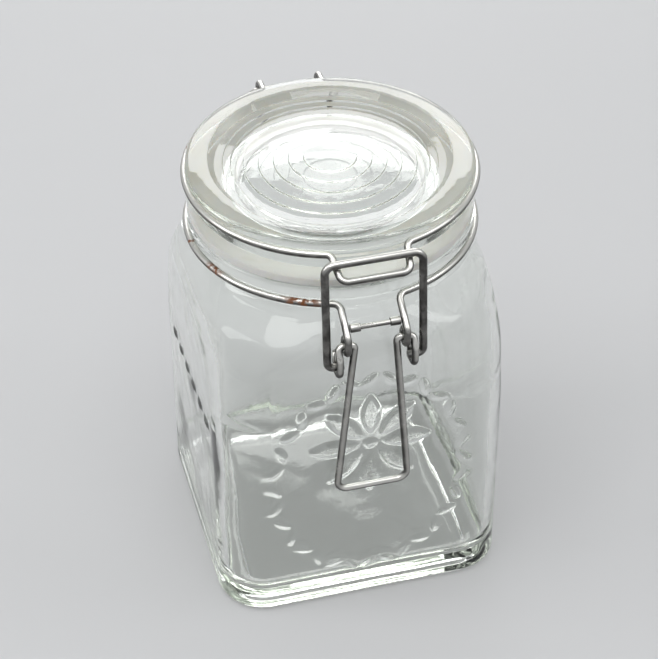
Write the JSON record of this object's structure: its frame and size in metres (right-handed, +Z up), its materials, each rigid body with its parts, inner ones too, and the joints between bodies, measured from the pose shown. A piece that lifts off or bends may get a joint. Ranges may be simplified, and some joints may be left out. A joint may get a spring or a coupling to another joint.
{
  "type": "clamp lid storage jar",
  "caption": "Square glass storage jar with a round hinged glass lid, a rubber sealing ring and a wire lever clamp.",
  "frame": {"origin": "middle of the base, on the surface the jar stands on", "axes": "+Z up along the neck's axis; -Y towards the clamp, +Y towards the lid hinge; X along the hinge axes"},
  "size_m": [0.1067, 0.1224, 0.162],
  "materials": {
    "jar_glass": "clear moulded glass, polished",
    "lid_glass": "clear moulded glass, polished",
    "seal_rubber": "smooth, slightly translucent cream rubber",
    "wire": "dull galvanised steel wire with light rust"
  },
  "bodies": {
    "jar": {"glass_jar": "jar_glass", "neck_wire": "wire", "neck_wire_tie": "wire"},
    "lid": {"glass_lid": "lid_glass", "lid_wire": "wire", "sealing_ring": "seal_rubber"},
    "lever": {"lever": "wire"},
    "bail": {"bail": "wire"}
  },
  "joints": [
    {"name": "lid_hinge", "type": "hinge", "parent": "jar", "child": "lid", "pos_m": [0, 0.0565, 0.1548], "axis": [-1, 0, 0], "range_deg": [0, 110]},
    {"name": "lever_swing", "type": "hinge", "parent": "jar", "child": "lever", "pos_m": [0, -0.058, 0.1255], "axis": [-1, 0, 0], "range_deg": [0, 110]},
    {"name": "bail_swing", "type": "hinge", "parent": "lever", "child": "bail", "pos_m": [0, -0.058, 0.117], "axis": [1, 0, 0], "range_deg": [0, 165]}
  ],
  "couplings": [
    {"joint": "bail_swing", "follows": "lever_swing", "ratio": 1.5}
  ]
}
